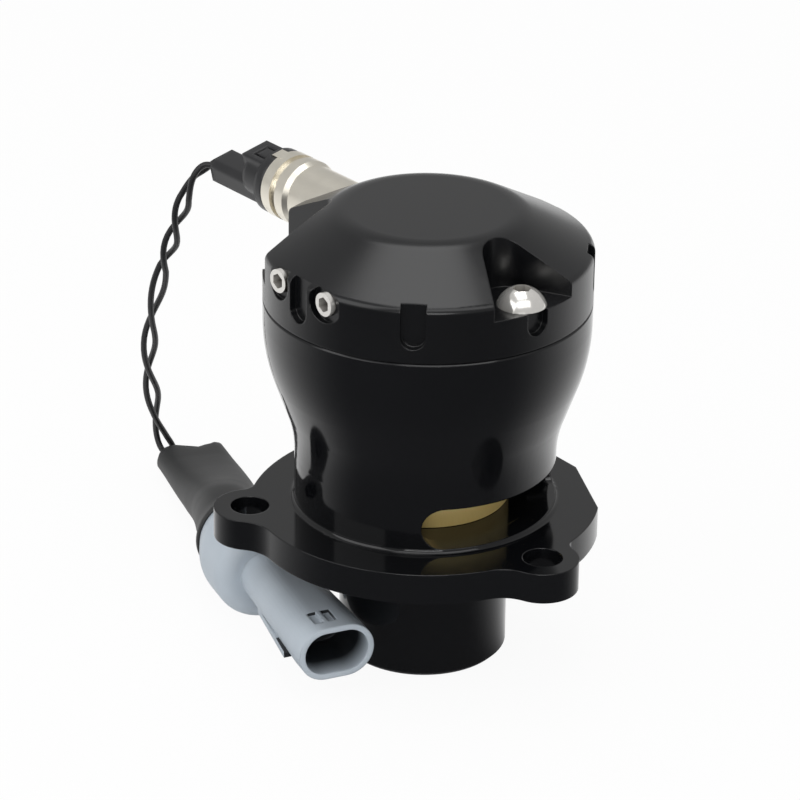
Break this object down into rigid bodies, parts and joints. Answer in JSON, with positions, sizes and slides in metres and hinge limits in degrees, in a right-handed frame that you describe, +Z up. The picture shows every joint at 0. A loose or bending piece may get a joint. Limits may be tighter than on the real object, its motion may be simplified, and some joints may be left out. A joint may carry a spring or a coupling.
{
  "type": "blow off valve",
  "caption": "Pilot-operated blow off valve with a flanged nose, a vented barrel round a spring-loaded piston, a domed cap and a push-in solenoid on a short lead.",
  "frame": {"origin": "on the valve's axis at the lower end of the inlet nose, where the part stands", "axes": "+Z up the valve's axis from the nose to the cap, +Y along the solenoid, X across"},
  "size_m": [0.07, 0.1307, 0.0877],
  "materials": {
    "black_anodise": "black anodised, semi-gloss",
    "brass": "turned, fine vertical lines",
    "ring_polymer": "filled polymer, dull",
    "seal_rubber": "moulded, dull",
    "spring_steel": "drawn wire",
    "stainless": "polished",
    "nickel": "warm nickel plate, turned",
    "soft_iron": "turned",
    "bobbin_polymer": "natural polymer",
    "copper": "enamelled copper",
    "black_polymer": "moulded, matt",
    "wire_jacket": "extruded jacket",
    "shrink_sleeve": "shrunk sleeve, matt",
    "grey_polymer": "moulded, blue-grey",
    "contact_metal": "tinned"
  },
  "bodies": {
    "valve": {"body": "black_anodise", "cap": "black_anodise", "main_spring": "spring_steel", "cap_o_ring": "seal_rubber", "flange_o_ring": "seal_rubber", "cap_screws": "stainless", "passage_plugs": "stainless", "solenoid_tube": "nickel", "solenoid_seal": "seal_rubber", "pilot_seat": "brass", "armature_spring": "spring_steel", "fixed_core": "soft_iron", "bobbin": "bobbin_polymer", "coil": "copper", "terminal_header": "black_polymer", "terminals": "copper", "plug_housing": "black_polymer", "wire_a": "wire_jacket", "wire_b": "wire_jacket", "boot": "shrink_sleeve", "connector_housing": "grey_polymer", "contact_pins": "contact_metal"},
    "piston": {"piston": "brass", "piston_ring": "ring_polymer", "seat_seal": "seal_rubber"},
    "armature": {"armature": "soft_iron"}
  },
  "joints": [
    {"name": "piston_slide", "type": "slide", "parent": "valve", "child": "piston", "axis": [0, 0, 1], "range_m": [0, 0.008], "stiffness_N_per_m": 1500, "springref_m": -0.012, "deforming": ["main_spring"]},
    {"name": "armature_slide", "type": "slide", "parent": "valve", "child": "armature", "axis": [0, 1, 0], "range_m": [0, 0.0008], "stiffness_N_per_m": 400, "springref_m": -0.004, "deforming": ["armature_spring"]}
  ]
}
